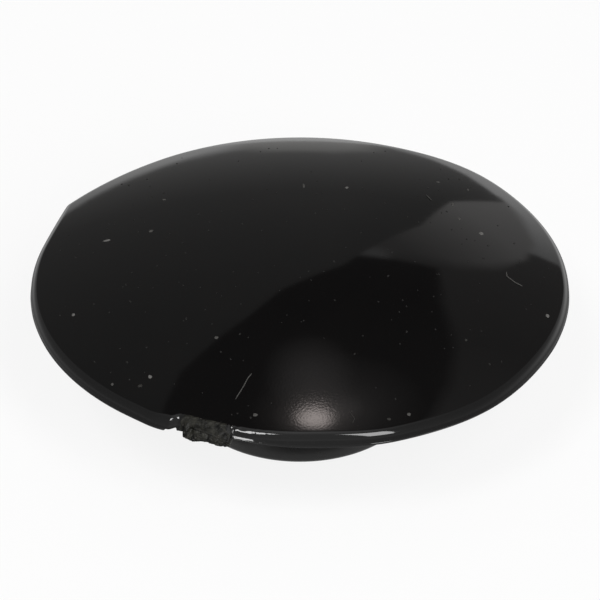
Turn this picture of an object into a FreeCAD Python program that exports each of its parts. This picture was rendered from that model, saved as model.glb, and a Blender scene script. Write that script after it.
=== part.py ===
import FreeCAD, Part
import math
import os

import Sketcher

# Domed plastic hole plug, moulded in one piece.
#
# A thin lens-shaped head covers the hole, and a short hollow stem pushes into it.
# The origin is the centre of the seating plane: the flat ring under the head's rim
# that rests on the panel. +Z runs along the axis, out of the panel.
# Azimuths are measured from +X towards +Y, and -Y is the front.

NODE = "hole_plug"

# Driving dimensions, in millimetres and degrees.
SIZES = {
    # Head: rim, dome and the uniform wall under it.
    "head_diameter": 28.0,
    "rim_height": 0.68,
    "dome_rise": 2.2,
    "rim_round": 0.5,
    "shell_wall": 0.8,
    "seat_width": 2.0,
    "edge_break": 0.08,
    "recess_round": 0.15,
    # Stem: a plain tube, closed by the dome.
    "stem_diameter": 12.5,
    "stem_length": 6.6,
    "stem_wall": 1.2,
    "stem_lead": 0.3,
    "mouth_round": 0.2,
    "root_round": 0.4,
    # Blunt corner in the rim's outline: a short straight flank and a long curved one.
    "corner_azimuth": 149.0,
    "corner_reach": 0.39,
    "corner_round": 0.6,
    "corner_sweep": 26.0,
    # Parting line: a fine ridge round the rim.
    "flash_level": 0.1,
    "flash_height": 0.06,
    "flash_proud": 0.04,
    # Stub of the broken gate.
    "gate_azimuth": -109.5,
    "gate_width": 2.3,
    "gate_base": 0.12,
    "gate_height": 0.45,
    "gate_proud": 0.14,
    "gate_root": 0.15,
    # Chip torn out of the rim's lower edge beside the gate.
    "chip_azimuth": -117.3,
    "chip_width": 0.42,
    "chip_depth": 0.46,
    "chip_height": 0.4,
}

# What follows from them, as formulas on the sheet.
WORKED_OUT = {
    "head_radius": "=sizes.head_diameter / 2",
    "stem_radius": "=sizes.stem_diameter / 2",
    "seat_radius": "=head_radius - sizes.seat_width",
    "bore_radius": "=stem_radius - sizes.stem_wall",
    "crown": "=sizes.rim_height + sizes.dome_rise",
    "dome_radius": "=(head_radius^2 + sizes.dome_rise^2) / (2 * sizes.dome_rise)",
    "dome_drop": "=dome_radius - crown",
    "inner_radius": "=dome_radius - sizes.shell_wall",
    "corner_centre": "=head_radius + sizes.corner_reach - sizes.corner_round",
    "flash_root": "=head_radius - sizes.seat_width / 2",
    "trim_radius": "=head_radius + 2 * sizes.corner_reach",
    "blank_height": "=crown + sizes.rim_height",
    "trim_height": "=blank_height + sizes.rim_height",
}

# Edge of the gate's break, from one end to the other: share of the gate's width
# along the rim, then share of gate_proud that it stands out.
BREAK_LINE = [
    (-0.46, 0.35),
    (-0.34, 0.8),
    (-0.24, 0.95),
    (-0.11, 0.65),
    (0.04, 1.0),
    (0.17, 0.55),
    (0.3, 0.75),
    (0.45, 0.2),
]

doc = FreeCAD.newDocument("hole_plug_document")


def make_sheet(name, cells):
    """A spreadsheet with one row for each named cell."""
    sheet = doc.addObject("Spreadsheet::Sheet", name)
    for row, (alias, content) in enumerate(cells.items(), start=1):
        sheet.set(f"A{row}", alias)
        sheet.set(f"B{row}", str(content))
        sheet.setAlias(f"B{row}", alias)
    doc.recompute()
    return sheet


sizes = make_sheet("sizes", SIZES)
worked_out = make_sheet("worked_out", WORKED_OUT)


def size(alias):
    """The value that a sheet holds under this name."""
    sheet = sizes if alias in SIZES else worked_out
    return float(sheet.get(alias))


body = doc.addObject("PartDesign::Body", NODE)
body.Label = NODE

ORIGIN = (-1, 1)
HORIZONTAL_AXIS, VERTICAL_AXIS = -1, -2
START, END, CENTRE = range(1, 4)

# How closely an edge must agree with a place to be chosen for a rounding.
CLOSE = 1e-3


# ------------------------------------------------------------------ sketch tools

def new_sketch(name, plane_role):
    """A sketch on one of the body's origin planes."""
    sketch = body.newObject("Sketcher::SketchObject", name)
    plane = [item for item in body.Origin.OriginFeatures if item.Role == plane_role][0]
    sketch.AttachmentSupport = [(plane, "")]
    sketch.MapMode = "FlatFace"
    return sketch


def turn_sketch(sketch, azimuth, level=None):
    """Turn a plan sketch so that its own X axis points at an azimuth, and raise it."""
    upwards = FreeCAD.Vector(0, 0, 1)
    height = size(level) if level else 0.0
    place = FreeCAD.Placement(upwards * height, FreeCAD.Rotation(upwards, size(azimuth)))
    sketch.AttachmentOffset = place
    sketch.setExpression("AttachmentOffset.Rotation.Angle", f"sizes.{azimuth} * 1 deg")
    if level:
        sketch.setExpression("AttachmentOffset.Base.z", f"sizes.{level} * 1 mm")


def add_arc(sketch, centre, radius, first_angle, last_angle):
    circle = Part.Circle(FreeCAD.Vector(*centre, 0), FreeCAD.Vector(0, 0, 1), radius)
    return sketch.addGeometry(Part.ArcOfCircle(circle, first_angle, last_angle), False)


def add_ring(sketch, name, radius_alias):
    """A full circle round the origin, driven by a worked-out radius."""
    circle = Part.Circle(FreeCAD.Vector(), FreeCAD.Vector(0, 0, 1), size(radius_alias))
    ring = sketch.addGeometry(circle, False)
    fix(sketch, "Coincident", ring, CENTRE, *ORIGIN)
    drive(sketch, name, "Radius", (ring,), size(radius_alias), f"worked_out.{radius_alias}")


def add_line(sketch, first, last):
    line = Part.LineSegment(FreeCAD.Vector(*first, 0), FreeCAD.Vector(*last, 0))
    return sketch.addGeometry(line, False)


def fix(sketch, kind, *where):
    """A constraint with no dimension."""
    return sketch.addConstraint(Sketcher.Constraint(kind, *where))


def drive(sketch, name, kind, where, value, expression):
    """A named dimension, bound to the sheets."""
    index = sketch.addConstraint(Sketcher.Constraint(kind, *where, value))
    sketch.renameConstraint(index, name)
    sketch.setExpression(f"Constraints.{name}", expression)


def inner_dome_arc(sketch, outer_x, inner_x, outer_alias):
    """The dome's inner surface in section, from outer_x in to inner_x."""
    drop = size("dome_drop")
    radius = size("inner_radius")
    first = math.acos(outer_x / radius)
    last = math.acos(inner_x / radius)
    arc = add_arc(sketch, (0, -drop), radius, first, last)
    fix(sketch, "PointOnObject", arc, CENTRE, VERTICAL_AXIS)
    drive(sketch, "drop", "DistanceY", (arc, CENTRE, *ORIGIN), drop, "worked_out.dome_drop")
    drive(sketch, "radius", "Radius", (arc,), radius, "worked_out.inner_radius")
    drive(sketch, "outer", "DistanceX", (*ORIGIN, arc, START), outer_x, f"worked_out.{outer_alias}")
    return arc


def inner_height(radius):
    """Height of the dome's inner surface at a radius."""
    return math.sqrt(size("inner_radius") ** 2 - radius ** 2) - size("dome_drop")


def chain(sketch, arc, corners):
    """Close an arc with straight sides from its end, round these corners, to its start."""
    points = [(corners[0][0], inner_height(corners[0][0]))]
    points += corners
    points += [(corners[-1][0], inner_height(corners[-1][0]))]
    lines = [add_line(sketch, a, b) for a, b in zip(points, points[1:])]
    fix(sketch, "Coincident", arc, END, lines[0], START)
    for line, following in zip(lines, lines[1:]):
        fix(sketch, "Coincident", line, END, following, START)
    fix(sketch, "Coincident", lines[-1], END, arc, START)
    return lines


# ------------------------------------------------------------------ feature tools

def settle(feature, grows):
    """Recompute and see that the feature did its work and left one sound solid."""
    before = feature.BaseFeature.Shape.Volume if feature.BaseFeature else 0.0
    doc.recompute()
    shape = feature.Shape
    if "Invalid" in feature.State or "Error" in feature.State or shape.isNull():
        raise RuntimeError(f"{feature.Name} failed: {feature.State}")
    if not shape.isValid() or len(shape.Solids) != 1:
        raise RuntimeError(f"{feature.Name} is not one valid solid")
    if grows is not None and (shape.Volume > before) != grows:
        raise RuntimeError(f"{feature.Name} changed the volume the wrong way")
    return feature


def pad(name, sketch, length, upwards=True):
    feature = body.newObject("PartDesign::Pad", name)
    feature.Profile = sketch
    feature.setExpression("Length", length)
    feature.Reversed = not upwards
    return settle(feature, grows=True)


def groove(name, sketch):
    feature = body.newObject("PartDesign::Groove", name)
    feature.Profile = sketch
    feature.ReferenceAxis = (sketch, ["V_Axis"])
    feature.Angle = 360
    return settle(feature, grows=False)


def fillet(name, radius, base, chosen):
    """Round the edges of the base feature that pass the test."""
    edges = [f"Edge{i}" for i, edge in enumerate(base.Shape.Edges, start=1) if chosen(edge)]
    if not edges:
        raise RuntimeError(f"{name} found no edge")
    feature = body.newObject("PartDesign::Fillet", name)
    feature.Base = (base, edges)
    feature.setExpression("Radius", radius)
    return settle(feature, grows=None)


def circle_at(radius, height):
    """A test for full circles round the axis at this radius and height."""
    def chosen(edge):
        low = edge.BoundBox.ZMin
        high = edge.BoundBox.ZMax
        flat = abs(low - height) < CLOSE and abs(high - height) < CLOSE
        return flat and abs(edge.BoundBox.XLength - 2 * radius) < CLOSE
    return chosen


# ------------------------------------------------------------------ sketches

def outline_sketch(name, level=None, proud=None):
    """The rim's outline in plan: a circle drawn out to one blunt corner.

    In the sketch the corner lies on +X. Its straight flank is the common tangent of
    the rim's circle and the corner's rounding. Its curved flank is an arc that
    touches both and leaves the rim's circle at corner_sweep.
    """
    extra = size(proud) if proud else 0.0
    plus = f" + sizes.{proud}" if proud else ""
    rim = size("head_radius") + extra
    small = size("corner_round") + extra
    away = size("corner_centre")
    sweep = math.radians(size("corner_sweep"))
    tangent = math.acos((rim - small) / away)
    reach = away * math.cos(sweep)
    flank = (small ** 2 - rim ** 2 - away ** 2 + 2 * rim * reach) / (2 * (small - rim + reach))
    flank_x = (rim - flank) * math.cos(sweep)
    flank_y = (flank - rim) * math.sin(sweep)
    meeting = math.atan2(-flank_y, away - flank_x)

    sketch = new_sketch(name, "XY_Plane")
    turn_sketch(sketch, "corner_azimuth", level)
    round_rim = add_arc(sketch, (0, 0), rim, tangent, 2 * math.pi - sweep)
    curved = add_arc(sketch, (flank_x, flank_y), flank, -sweep, meeting)
    corner = add_arc(sketch, (away, 0), small, meeting, tangent)
    tip = (away + small * math.cos(tangent), small * math.sin(tangent))
    foot = (rim * math.cos(tangent), rim * math.sin(tangent))
    straight = add_line(sketch, tip, foot)

    fix(sketch, "Coincident", round_rim, CENTRE, *ORIGIN)
    fix(sketch, "PointOnObject", corner, CENTRE, HORIZONTAL_AXIS)
    fix(sketch, "Tangent", straight, END, round_rim, START)
    fix(sketch, "Tangent", corner, END, straight, START)
    fix(sketch, "Tangent", curved, END, corner, START)
    fix(sketch, "Tangent", round_rim, END, curved, START)
    drive(sketch, "rim", "Radius", (round_rim,), rim, f"worked_out.head_radius{plus}")
    drive(sketch, "corner", "Radius", (corner,), small, f"sizes.corner_round{plus}")
    drive(sketch, "away", "DistanceX", (*ORIGIN, corner, CENTRE), away, "worked_out.corner_centre")
    drive(sketch, "sweep", "DistanceY", (round_rim, END, *ORIGIN), rim * math.sin(sweep),
          f"(worked_out.head_radius{plus}) * sin(sizes.corner_sweep * 1 deg)")
    return sketch


def trim_sketch():
    """Section of what is cut away above the dome."""
    sketch = new_sketch("dome_section", "XZ_Plane")
    radius = size("dome_radius")
    drop = size("dome_drop")
    wide = size("trim_radius")
    top = size("trim_height")
    crown = size("crown")
    edge_height = math.sqrt(radius ** 2 - wide ** 2) - drop
    dome = add_arc(sketch, (0, -drop), radius, math.acos(wide / radius), math.pi / 2)
    side = add_line(sketch, (wide, edge_height), (wide, top))
    lid = add_line(sketch, (wide, top), (0, top))
    axis = add_line(sketch, (0, top), (0, crown))
    fix(sketch, "Coincident", dome, START, side, START)
    fix(sketch, "Coincident", side, END, lid, START)
    fix(sketch, "Coincident", lid, END, axis, START)
    fix(sketch, "Coincident", axis, END, dome, END)
    fix(sketch, "PointOnObject", dome, CENTRE, VERTICAL_AXIS)
    fix(sketch, "PointOnObject", dome, END, VERTICAL_AXIS)
    fix(sketch, "PointOnObject", lid, END, VERTICAL_AXIS)
    fix(sketch, "Vertical", side)
    fix(sketch, "Horizontal", lid)
    drive(sketch, "radius", "Radius", (dome,), radius, "worked_out.dome_radius")
    drive(sketch, "crown", "DistanceY", (*ORIGIN, dome, END), crown, "worked_out.crown")
    drive(sketch, "wide", "DistanceX", (*ORIGIN, dome, START), wide, "worked_out.trim_radius")
    drive(sketch, "top", "DistanceY", (*ORIGIN, side, END), top, "worked_out.trim_height")
    return sketch


def stem_sketch():
    """The stem's circle on the seating plane."""
    sketch = new_sketch("stem_plan", "XY_Plane")
    add_ring(sketch, "stem", "stem_radius")
    return sketch


def flash_sketch():
    """Plan of the parting line: a ring from inside the rim to just outside it."""
    sketch = outline_sketch("flash_plan", "flash_level", "flash_proud")
    add_ring(sketch, "root", "flash_root")
    return sketch


def recess_sketch():
    """Section of the ring-shaped hollow between the stem and the seating ring."""
    sketch = new_sketch("recess_section", "XZ_Plane")
    seat = size("seat_radius")
    stem = size("stem_radius")
    ceiling = inner_dome_arc(sketch, seat, stem, "seat_radius")
    inside, floor, outside = chain(sketch, ceiling, [(stem, 0), (seat, 0)])
    fix(sketch, "Vertical", inside)
    fix(sketch, "Horizontal", floor)
    fix(sketch, "Vertical", outside)
    fix(sketch, "PointOnObject", floor, START, HORIZONTAL_AXIS)
    drive(sketch, "stem", "DistanceX", (*ORIGIN, ceiling, END), stem, "worked_out.stem_radius")
    return sketch


def bore_sketch():
    """Section of the blind bore, from the stem's open end up to the dome's wall."""
    sketch = new_sketch("bore_section", "XZ_Plane")
    bore = size("bore_radius")
    length = size("stem_length")
    ceiling = inner_dome_arc(sketch, bore, 0, "bore_radius")
    axis, mouth, wall = chain(sketch, ceiling, [(0, -length), (bore, -length)])
    fix(sketch, "PointOnObject", ceiling, END, VERTICAL_AXIS)
    fix(sketch, "PointOnObject", axis, END, VERTICAL_AXIS)
    fix(sketch, "Horizontal", mouth)
    fix(sketch, "Vertical", wall)
    drive(sketch, "length", "DistanceY", (axis, END, *ORIGIN), length, "sizes.stem_length")
    return sketch


def gate_sketch():
    """Plan of the gate's stub: a ragged break, closed inside the rim."""
    sketch = new_sketch("gate_plan", "XY_Plane")
    turn_sketch(sketch, "gate_azimuth", "gate_base")
    rim = size("head_radius")
    width = size("gate_width")
    proud = size("gate_proud")
    root = rim - size("gate_root")
    points = [(rim + out * proud, along * width) for along, out in BREAK_LINE]
    points = [(root, -width / 2)] + points + [(root, width / 2)]
    lines = [add_line(sketch, a, b) for a, b in zip(points, points[1:] + points[:1])]
    for line, following in zip(lines, lines[1:] + lines[:1]):
        fix(sketch, "Coincident", line, END, following, START)
    for line, (along, out) in zip(lines[1:], BREAK_LINE):
        drive(sketch, f"out_{line}", "DistanceX", (*ORIGIN, line, START), rim + out * proud,
              f"worked_out.head_radius + {out} * sizes.gate_proud")
        drive(sketch, f"along_{line}", "DistanceY", (*ORIGIN, line, START), along * width,
              f"{along} * sizes.gate_width")
    back = lines[-1]
    fix(sketch, "Vertical", back)
    drive(sketch, "root", "DistanceX", (*ORIGIN, back, START), root,
          "worked_out.head_radius - sizes.gate_root")
    drive(sketch, "first", "DistanceY", (back, END, *ORIGIN), width / 2, "sizes.gate_width / 2")
    drive(sketch, "last", "DistanceY", (*ORIGIN, back, START), width / 2, "sizes.gate_width / 2")
    return sketch


def chip_sketch():
    """Plan of the chip: a narrow notch with a round end, open at the rim."""
    sketch = new_sketch("chip_plan", "XY_Plane")
    turn_sketch(sketch, "chip_azimuth")
    rim = size("head_radius")
    half = size("chip_width") / 2
    depth = size("chip_depth")
    centre = rim - depth + half
    mouth = rim + depth
    end = add_arc(sketch, (centre, 0), half, math.pi / 2, 3 * math.pi / 2)
    low = add_line(sketch, (centre, -half), (mouth, -half))
    open_side = add_line(sketch, (mouth, -half), (mouth, half))
    high = add_line(sketch, (mouth, half), (centre, half))
    fix(sketch, "Tangent", end, END, low, START)
    fix(sketch, "Coincident", low, END, open_side, START)
    fix(sketch, "Coincident", open_side, END, high, START)
    fix(sketch, "Tangent", high, END, end, START)
    fix(sketch, "Horizontal", low)
    fix(sketch, "Vertical", open_side)
    fix(sketch, "PointOnObject", end, CENTRE, HORIZONTAL_AXIS)
    drive(sketch, "half", "Radius", (end,), half, "sizes.chip_width / 2")
    drive(sketch, "centre", "DistanceX", (*ORIGIN, end, CENTRE), centre,
          "worked_out.head_radius - sizes.chip_depth + sizes.chip_width / 2")
    drive(sketch, "mouth", "DistanceX", (*ORIGIN, low, END), mouth,
          "worked_out.head_radius + sizes.chip_depth")
    return sketch


# ------------------------------------------------------------------ the plug

# Head: the outline raised to a blank, then turned down to the dome.
blank = pad("head_blank", outline_sketch("rim_outline"), "worked_out.blank_height")
dome = groove("dome", trim_sketch())


def on_dome_edge(edge):
    """The edges where the dome meets the rim's wall, the corner's among them."""
    low = edge.BoundBox.ZMin
    high = edge.BoundBox.ZMax
    return low > size("rim_height") / 2 and high < size("rim_height") + size("dome_rise") / 4


rounded = fillet("rim_rounding", "sizes.rim_round", dome, on_dome_edge)

# Underside: the stem, then the hollows that leave an even wall behind them.
stem = pad("stem", stem_sketch(), "sizes.stem_length", upwards=False)
recess = groove("recess", recess_sketch())
bore = groove("bore", bore_sketch())

stem_r = size("stem_radius")
bore_r = size("bore_radius")
seat_r = size("seat_radius")
tip_z = -size("stem_length")

stem_root = circle_at(stem_r, inner_height(stem_r))
bore_root = circle_at(bore_r, inner_height(bore_r))
roots = fillet("stem_roots", "sizes.root_round", bore,
               lambda edge: stem_root(edge) or bore_root(edge))
recess_edge = fillet("recess_rounding", "sizes.recess_round", roots,
                     circle_at(seat_r, inner_height(seat_r)))
lead = fillet("stem_lead_in", "sizes.stem_lead", recess_edge, circle_at(stem_r, tip_z))
mouth = fillet("bore_mouth", "sizes.mouth_round", lead, circle_at(bore_r, tip_z))


def on_seat_edge(edge):
    """Both edges of the seating ring: the rim's outline and the recess's circle."""
    return abs(edge.BoundBox.ZMin) < CLOSE and abs(edge.BoundBox.ZMax) < CLOSE


seat = fillet("seat_edges", "sizes.edge_break", mouth, on_seat_edge)

# Moulding marks: parting line, broken gate and the chip beside it.
flash = pad("parting_line", flash_sketch(), "sizes.flash_height")
gate = pad("gate_stub", gate_sketch(), "sizes.gate_height")
chip = body.newObject("PartDesign::Pocket", "rim_chip")
chip.Profile = chip_sketch()
chip.setExpression("Length", "sizes.chip_height")
chip.Reversed = True
settle(chip, grows=False)

body.Tip = chip
doc.recompute()

for item in doc.Objects:
    if "Invalid" in item.State or "Error" in item.State:
        raise RuntimeError(f"{item.Name} failed: {item.State}")

solid = body.Shape
if solid.isNull() or not solid.isValid() or len(solid.Solids) != 1:
    raise RuntimeError("the plug is not one valid solid")

os.makedirs("parts", exist_ok=True)
solid.exportStep(f"parts/{body.Label}.step")
print(f"{body.Label}: {solid.Volume:.1f} cubic mm, {len(solid.Faces)} faces")
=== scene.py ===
import math
import random

import bpy
from mathutils import Matrix, Vector, noise


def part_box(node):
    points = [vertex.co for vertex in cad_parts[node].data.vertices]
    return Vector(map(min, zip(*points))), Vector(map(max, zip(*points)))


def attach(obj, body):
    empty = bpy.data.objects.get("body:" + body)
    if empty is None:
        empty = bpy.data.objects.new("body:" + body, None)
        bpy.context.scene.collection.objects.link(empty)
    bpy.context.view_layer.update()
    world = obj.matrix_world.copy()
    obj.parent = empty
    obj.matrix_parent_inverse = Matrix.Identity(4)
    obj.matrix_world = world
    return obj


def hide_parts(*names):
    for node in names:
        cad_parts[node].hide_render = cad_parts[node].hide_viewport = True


# Domed plastic hole plug: looks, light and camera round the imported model.
#
# Sizes are in millimetres and degrees. Azimuths run from +X towards +Y, and -Y is the
# front. The plug's skin is one closed mesh, made ring by ring from the crown, over the
# rim, under the head, down the stem and up its bore.

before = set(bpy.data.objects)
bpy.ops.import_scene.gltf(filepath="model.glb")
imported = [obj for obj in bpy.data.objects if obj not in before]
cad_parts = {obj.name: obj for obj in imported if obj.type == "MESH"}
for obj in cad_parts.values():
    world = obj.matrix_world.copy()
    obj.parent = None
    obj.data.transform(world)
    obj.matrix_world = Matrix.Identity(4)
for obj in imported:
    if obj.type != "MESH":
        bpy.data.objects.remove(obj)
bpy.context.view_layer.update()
low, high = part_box("hole_plug")

MM = 0.001

# ------------------------------------------------------------------ sizes

FLASH_PROUD = 0.04
HEAD_RADIUS = round(high.x / MM - FLASH_PROUD, 2)
CROWN = round(high.z / MM, 3)
STEM_TIP = round(low.z / MM, 3)

DOME_RISE = 2.2
DOME_RADIUS = (HEAD_RADIUS ** 2 + DOME_RISE ** 2) / (2 * DOME_RISE)
DOME_CENTRE = CROWN - DOME_RADIUS
SHELL_WALL = 0.8
RIM_ROUND = 0.5
SEAT_WIDTH = 2.0
EDGE_ROUND = 0.08
RECESS_ROUND = 0.15

STEM_RADIUS = 6.25
STEM_WALL = 1.2
STEM_LEAD = 0.3
MOUTH_ROUND = 0.2
ROOT_ROUND = 0.4

# Blunt corner in the rim's outline: how far it stands out of the circle, its rounding,
# and the angle over which the rim is drawn out to it.
CORNER_AZIMUTH = 149.0
CORNER_REACH = 0.6
CORNER_ROUND = 0.5
CORNER_SWEEP = 26.0

# The rim isn't quite a circle: azimuth, half-width in degrees, and rise of each swell.
SWELLS = [
    (-49, 14, 0.17),
    (50, 14, 0.26),
    (95, 30, -0.04),
    (-121.5, 3, 0.06),
]

# The rim is flattened beside the gate: from nothing to full at each end, and how deep.
FLAT_LEFT = (-118, -116)
FLAT_RIGHT = (-70, -88)
FLAT_DEPTH = 0.25

# Parting line: a fine ridge. Its mean height, and how much that varies to both sides,
# are shares of FLASH_PROUD.
FLASH_ABOVE_EDGE = 0.13
FLASH_HALF_HEIGHT = 0.03
FLASH_MEAN = 0.6
FLASH_VARIES = 0.4

# The broken gate: its ends, how softly each end begins, how far it stands out, and the
# height of its foot. Its top fades out between two heights.
GATE_FROM = -114.6
GATE_TO = -104.2
GATE_SOFT_LEFT = 0.35
GATE_SOFT_RIGHT = 0.3
GATE_PROUD = 0.45
GATE_FOOT = 0.02
GATE_FADE = (0.9, 0.2)

# Its break: the mean, and the coarse and fine tearing, as shares of GATE_PROUD.
BREAK_MEAN = 0.88
BREAK_COARSE = 0.3
BREAK_FINE = 0.16

# Fractal noise: how it falls off, and the step and number of its octaves.
ROUGH_FALL = 0.8
ROUGH_STEP = 2.1
ROUGH_OCTAVES = 4

# A pit in the break, with its millimetres per degree of azimuth, and a low arched ridge
# above it, which falls with the square of the degrees.
PIT_AZIMUTH = -112.9
PIT_HEIGHT = 0.42
PIT_DEPTH = 0.24
PIT_REACH = 0.16
PIT_DEGREE = 0.24
RIDGE_AZIMUTH = -112.5
RIDGE_TOP = 0.62
RIDGE_FALL = 0.004375
RIDGE_PROUD = 0.07
RIDGE_HALF_HEIGHT = 0.05
RIDGE_START = (-113.5, -112)

# The rim is thinner on both sides of the gate: the lift of its lower edge, and how far
# the lift spreads to each side, in degrees.
THIN_AZIMUTH = -107
THIN_LIFT = 0.3
THIN_LEFT = 7
THIN_RIGHT = 12

# The chip torn out beside the gate. Its sides are wavy, and they and its roof turn
# softly into the wall.
CHIP_AZIMUTH = -117.6
CHIP_HALF_WIDTH = 0.9
CHIP_DEPTH = 0.9
CHIP_TOP = 0.49
CHIP_SOFT_TOP = 0.03
CHIP_SOFT_OUT = 0.2
CHIP_SOFT_IN = 0.05
CHIP_WAVE = 0.15
CHIP_WAVES = 14

# A burr stands out right of the gate, at 45 degrees from its top. The top falls a little
# with each degree of azimuth. It drops back to the wall at its foot, above the rim's
# lower edge. It begins at the gate, within BURR_START degrees, and fades out at BURR_END.
BURR_TOP = 0.525
BURR_FALL = 0.016
BURR_PROUD = 0.12
BURR_FOOT = 0.08
BURR_FOOT_SOFT = 0.07
BURR_START = 0.5
BURR_END = (-96.5, -99.5)

# The rim's rounding is tighter or wider here: azimuth, half-width and change of radius.
ROUND_CHANGES = [
    (-78, 26, -0.06),
    (-112, 9, 0.14),
    (-118.5, 2, 0.08),
]

# Small waves in the rounding right of the gate, a dent, and a lip over the gate. Places
# across the rounding are shares of it. The lengths of a whole share and of a degree are
# in millimetres.
WAVES_START = (GATE_TO - 0.6, GATE_TO + 0.4)
WAVES_END = (-94, -103)
WAVE_HEIGHT = 0.016
DENT_AZIMUTH = -104.6
DENT_SHARE = 0.42
DENT_SHARE_LENGTH = 0.45
DENT_DEGREE = 0.245
DENT_DEPTH = 0.045
DENT_REACH = 0.11
LIP_HEIGHT = 0.03
LIP_SHARE = 0.12
LIP_SHARE_LENGTH = 0.63
LIP_REACH = 0.05


# ------------------------------------------------------------------ shape of the plug

def smooth(low_edge, high_edge, value):
    """0 below the low edge, 1 above the high edge, and an S-curve between."""
    share = min(max((value - low_edge) / (high_edge - low_edge), 0.0), 1.0)
    return share * share * (3 - 2 * share)


def turned(azimuth, origin):
    """Azimuth measured from an origin, from -180 to 180."""
    return (azimuth - origin + 180.0) % 360.0 - 180.0


def hump(distance, half_width):
    """1 at no distance, falling off to both sides like a bell."""
    return math.exp(-(distance / half_width) ** 2)


def circle_reach(azimuth, centre_x, centre_y, radius):
    """Distance from the origin to a circle's far side, along an azimuth in radians."""
    along = centre_x * math.cos(azimuth) + centre_y * math.sin(azimuth)
    return along + math.sqrt(radius ** 2 - centre_x ** 2 - centre_y ** 2 + along ** 2)


def outline(azimuth):
    """Radius of the rim's wall: a circle drawn out to one corner, with swells and a flat."""
    away = HEAD_RADIUS + CORNER_REACH - CORNER_ROUND
    sweep = math.radians(CORNER_SWEEP)
    tangent = math.acos((HEAD_RADIUS - CORNER_ROUND) / away)
    reach = away * math.cos(sweep)
    flank = CORNER_ROUND ** 2 - HEAD_RADIUS ** 2 - away ** 2 + 2 * HEAD_RADIUS * reach
    flank /= 2 * (CORNER_ROUND - HEAD_RADIUS + reach)
    flank_x = (HEAD_RADIUS - flank) * math.cos(sweep)
    flank_y = (flank - HEAD_RADIUS) * math.sin(sweep)
    meeting = math.atan2(-flank_y, away - flank_x)
    meet = math.atan2(CORNER_ROUND * math.sin(meeting), away + CORNER_ROUND * math.cos(meeting))
    tip = math.atan2(CORNER_ROUND * math.sin(tangent), away + CORNER_ROUND * math.cos(tangent))
    local = math.radians(turned(azimuth, CORNER_AZIMUTH))
    if -sweep < local < meet:
        radius = circle_reach(local, flank_x, flank_y, flank)
    elif meet <= local < tip:
        radius = circle_reach(local, away, 0.0, CORNER_ROUND)
    elif tip <= local < tangent:
        radius = HEAD_RADIUS / math.cos(local - tangent)
    else:
        radius = HEAD_RADIUS
    for middle, half_width, rise in SWELLS:
        radius += rise * hump(turned(azimuth, middle), half_width)
    flat = smooth(*FLAT_LEFT, azimuth) * smooth(*FLAT_RIGHT, azimuth)
    return radius - FLAT_DEPTH * flat


def sphere_height(radius, sphere):
    """Height of the dome's sphere, or of one round the same centre, at a radius."""
    return math.sqrt(sphere ** 2 - radius ** 2) + DOME_CENTRE


def in_gate(azimuth):
    """1 on the gate's stub and 0 off it."""
    left = smooth(GATE_FROM - GATE_SOFT_LEFT, GATE_FROM + GATE_SOFT_LEFT, azimuth)
    right = smooth(GATE_TO + GATE_SOFT_RIGHT, GATE_TO - GATE_SOFT_RIGHT, azimuth)
    return left * right


def rim_low(azimuth):
    """Height of the rim's lower edge, which is lifted on both sides of the gate."""
    away = turned(azimuth, THIN_AZIMUTH)
    lift = THIN_LIFT * hump(away, THIN_RIGHT if away > 0 else THIN_LEFT)
    return lift + (GATE_FOOT - lift) * in_gate(azimuth)


def wander(azimuth, seed, scale):
    """Smooth noise from -1 to 1 that closes round the rim."""
    angle = math.radians(azimuth)
    return noise.noise(Vector((math.cos(angle) * scale, math.sin(angle) * scale, seed)))


def rough(azimuth, height, seed, scale):
    """Fractal noise on the rim's wall, in space, so that it has no seam."""
    angle = math.radians(azimuth)
    place = Vector((math.cos(angle), math.sin(angle), 0)) * HEAD_RADIUS
    place.z = height
    place = place * scale + Vector((seed, seed, seed))
    return noise.fractal(place, ROUGH_FALL, ROUGH_STEP, ROUGH_OCTAVES)


def wall_relief(azimuth, height):
    """How far the rim's wall stands out from its outline."""
    bottom = rim_low(azimuth)
    uneven = wander(azimuth, seed=3.0, scale=9.0)
    proud = FLASH_PROUD * (FLASH_MEAN + FLASH_VARIES * uneven)
    relief = proud * hump(height - bottom - FLASH_ABOVE_EDGE, FLASH_HALF_HEIGHT)
    relief *= 1 - in_gate(azimuth)
    return relief + burr(azimuth, height) + gate_relief(azimuth, height)


def burr(azimuth, height):
    """The burr right of the gate: a slope outwards, and a drop back to the wall."""
    near = smooth(*BURR_END, azimuth) * smooth(GATE_TO, GATE_TO + BURR_START, azimuth)
    if near == 0:
        return 0.0
    top = BURR_TOP - BURR_FALL * (azimuth - GATE_TO)
    out = min(max((top - height) / BURR_PROUD, 0.0), 1.0)
    back = smooth(BURR_FOOT, BURR_FOOT + BURR_FOOT_SOFT, height - rim_low(azimuth))
    return BURR_PROUD * near * out * back


def gate_relief(azimuth, height):
    """How far the torn gate stands out, from the dome's edge down to the rim's foot."""
    gate = in_gate(azimuth)
    if gate == 0:
        return 0.0
    coarse = rough(azimuth, height, seed=11.0, scale=1.6)
    fine = rough(azimuth, height, seed=4.0, scale=5.0)
    torn = BREAK_MEAN + BREAK_COARSE * coarse + BREAK_FINE * fine
    relief = GATE_PROUD * torn * smooth(*GATE_FADE, height)
    pit = math.hypot(turned(azimuth, PIT_AZIMUTH) * PIT_DEGREE, height - PIT_HEIGHT)
    relief -= PIT_DEPTH * hump(pit, PIT_REACH)
    ridge_height = RIDGE_TOP - RIDGE_FALL * (azimuth - RIDGE_AZIMUTH) ** 2
    ridge = RIDGE_PROUD * hump(height - ridge_height, RIDGE_HALF_HEIGHT)
    relief += ridge * smooth(*RIDGE_START, azimuth)
    return gate * relief


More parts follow.
